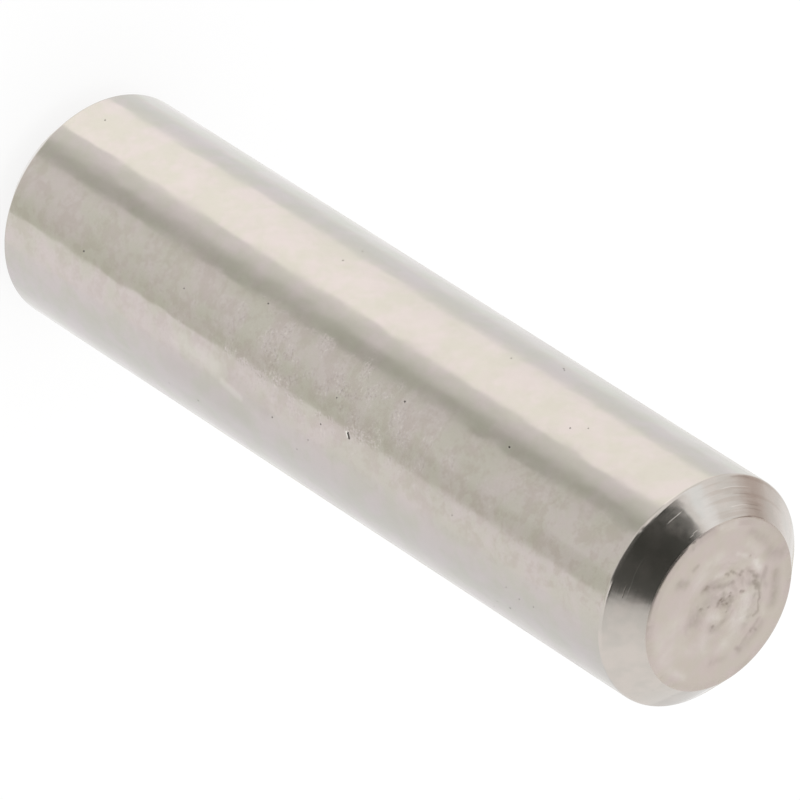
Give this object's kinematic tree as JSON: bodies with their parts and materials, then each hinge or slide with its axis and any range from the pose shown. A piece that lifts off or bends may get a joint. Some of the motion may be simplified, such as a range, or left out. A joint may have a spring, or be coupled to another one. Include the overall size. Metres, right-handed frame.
{
  "type": "dowel pin",
  "caption": "Solid parallel dowel pin in ground stainless steel, a plain round shank with a flat face and a 45 degree chamfer at each end.",
  "frame": {"origin": "centre of the lower end face, on which the pin stands", "axes": "+Z along the pin's axis, towards the upper end face with the parting mark; X and Y are any two directions across it, as the pin is round"},
  "size_m": [0.006, 0.006, 0.024],
  "materials": {
    "steel": "centreless-ground shank, bright turned chamfers, satin faced ends"
  },
  "bodies": {
    "root": {"dowel_pin": "steel"}
  },
  "joints": []
}
